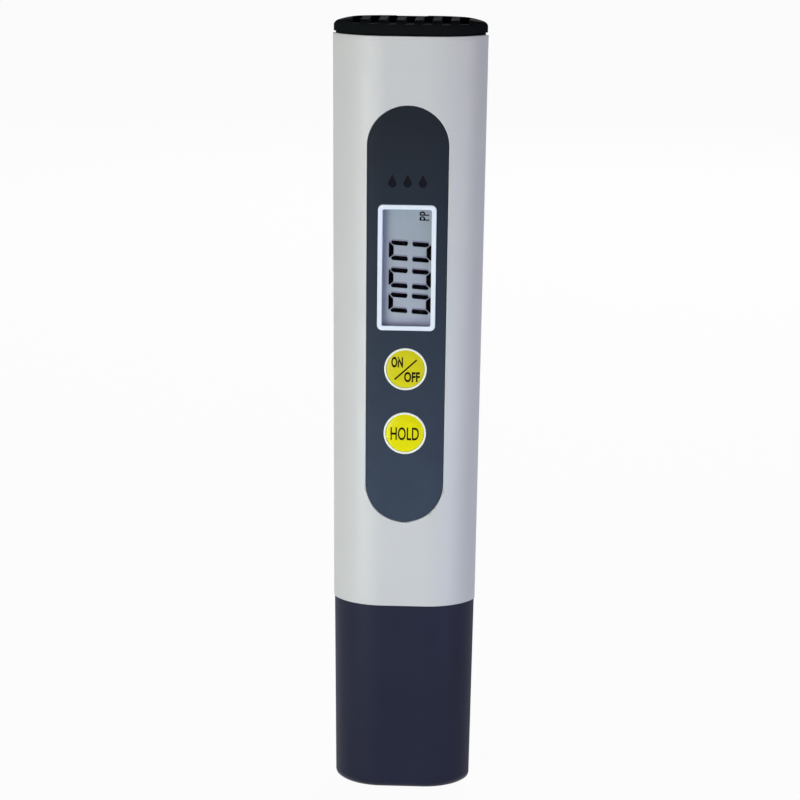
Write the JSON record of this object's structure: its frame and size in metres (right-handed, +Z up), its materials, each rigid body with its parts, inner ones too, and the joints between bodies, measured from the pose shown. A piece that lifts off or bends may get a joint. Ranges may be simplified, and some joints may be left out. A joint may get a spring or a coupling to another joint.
{
  "type": "water quality test pen",
  "caption": "Pen shaped water tester that stands on its pull-off probe cap, with a tapered oval sleeve, dark front panel, digital display, push buttons and a slotted battery cap.",
  "frame": {"origin": "centre of the protective cap's flat foot, on which the pen stands upright", "axes": "+Z up along the pen's length, -Y out of the front with the display, +X to the right seen from the front"},
  "size_m": [0.03, 0.0141, 0.154],
  "materials": {
    "cap_navy_plastic": "satin moulded plastic, dark navy",
    "sleeve_white_plastic": "satin moulded plastic, cool light grey white",
    "panel_slate": "fine matt film, dark slate",
    "adhesive_tape": "thin black foam adhesive",
    "bezel_white": "glossy white plastic",
    "window_clear": "clear polished acrylic",
    "button_yellow": "glossy yellow plastic",
    "button_lemon": "glossy lemon yellow plastic",
    "lcd_glass": "polarised glass",
    "lcd_reflector": "grey reflector film",
    "holder_white": "moulded white plastic",
    "zebra_rubber": "conductive rubber strip",
    "board_green": "glass fibre board with green solder mask",
    "switch_plastic": "black moulded plastic",
    "tinned_steel": "tinned steel",
    "dome_brass": "plated spring metal",
    "chip_epoxy": "black epoxy",
    "resistor_film": "ceramic chip",
    "capacitor_ceramic": "tan ceramic chip",
    "crystal_can": "drawn steel can",
    "trimmer_blue": "blue moulded plastic",
    "rotor_cream": "cream nylon",
    "carrier_grey": "dark grey moulded plastic",
    "screw_steel": "zinc plated steel",
    "contact_metal": "nickel plated spring strip",
    "cell_steel": "nickel plated steel",
    "cell_lid_steel": "nickel plated steel, brushed",
    "cell_gasket": "green grey nylon seal",
    "cell_filling": "pressed active mass",
    "cap_black_plastic": "black moulded plastic, half gloss",
    "probe_black_plastic": "dark moulded plastic",
    "potting_resin": "cast resin",
    "electrode_titanium": "polished titanium alloy",
    "sensor_steel": "drawn steel sheath",
    "lead_red": "enamelled wire"
  },
  "bodies": {
    "protective_cap": {"protective_cap": "cap_navy_plastic"},
    "casing": {"housing": "sleeve_white_plastic", "face_panel": "panel_slate", "panel_tape": "adhesive_tape", "display_frame": "bezel_white", "display_window": "window_clear", "button_bezels": "bezel_white", "lcd_front_glass": "lcd_glass", "lcd_rear_glass": "lcd_glass", "lcd_reflector": "lcd_reflector", "lcd_holder": "holder_white", "zebra_strips": "zebra_rubber", "circuit_board": "board_green", "switch_bases": "switch_plastic", "switch_covers": "tinned_steel", "switch_domes": "dome_brass", "controller_chip": "chip_epoxy", "amplifier_chip": "chip_epoxy", "timing_crystal": "crystal_can", "resistors": "resistor_film", "capacitors": "capacitor_ceramic", "trimmer_body": "trimmer_blue", "board_carrier": "carrier_grey", "board_screws": "screw_steel", "contact_positive": "contact_metal", "contact_negative": "contact_metal", "contact_bridge": "contact_metal", "probe_holder": "probe_black_plastic", "probe_potting": "potting_resin", "left_electrode": "electrode_titanium", "right_electrode": "electrode_titanium", "temperature_sensor": "sensor_steel", "sensor_leads": "lead_red"},
    "battery_cap": {"battery_cap": "cap_black_plastic"},
    "button_cells": {"cell_cans": "cell_steel", "cell_lids": "cell_lid_steel", "cell_gaskets": "cell_gasket", "cell_fillings": "cell_filling"},
    "on_off_button": {"on_off_button": "button_yellow", "on_off_plunger": "switch_plastic"},
    "hold_button": {"hold_button": "button_lemon", "hold_plunger": "switch_plastic"},
    "trimmer_rotor": {"trimmer_rotor": "rotor_cream"}
  },
  "joints": [
    {"name": "cap_pull", "type": "slide", "parent": "protective_cap", "child": "casing", "axis": [0, 0, 1], "range_m": [0, 0.045]},
    {"name": "battery_cap_pull", "type": "slide", "parent": "casing", "child": "battery_cap", "axis": [0, 0, 1], "range_m": [0, 0.03]},
    {"name": "cells_out", "type": "slide", "parent": "casing", "child": "button_cells", "axis": [0, 0, 1], "range_m": [0, 0.018]},
    {"name": "on_off_press", "type": "slide", "parent": "casing", "child": "on_off_button", "axis": [0, 1, 0], "range_m": [0, 0.0004], "stiffness_N_per_m": 300},
    {"name": "hold_press", "type": "slide", "parent": "casing", "child": "hold_button", "axis": [0, 1, 0], "range_m": [0, 0.0004], "stiffness_N_per_m": 300},
    {"name": "trimmer_turn", "type": "hinge", "parent": "casing", "child": "trimmer_rotor", "pos_m": [0, 0, 0.07138], "axis": [0, 1, 0], "range_deg": [-135, 135]}
  ],
  "couplings": [
    {"joint": "cells_out", "follows": "battery_cap_pull", "ratio": 0.6}
  ]
}
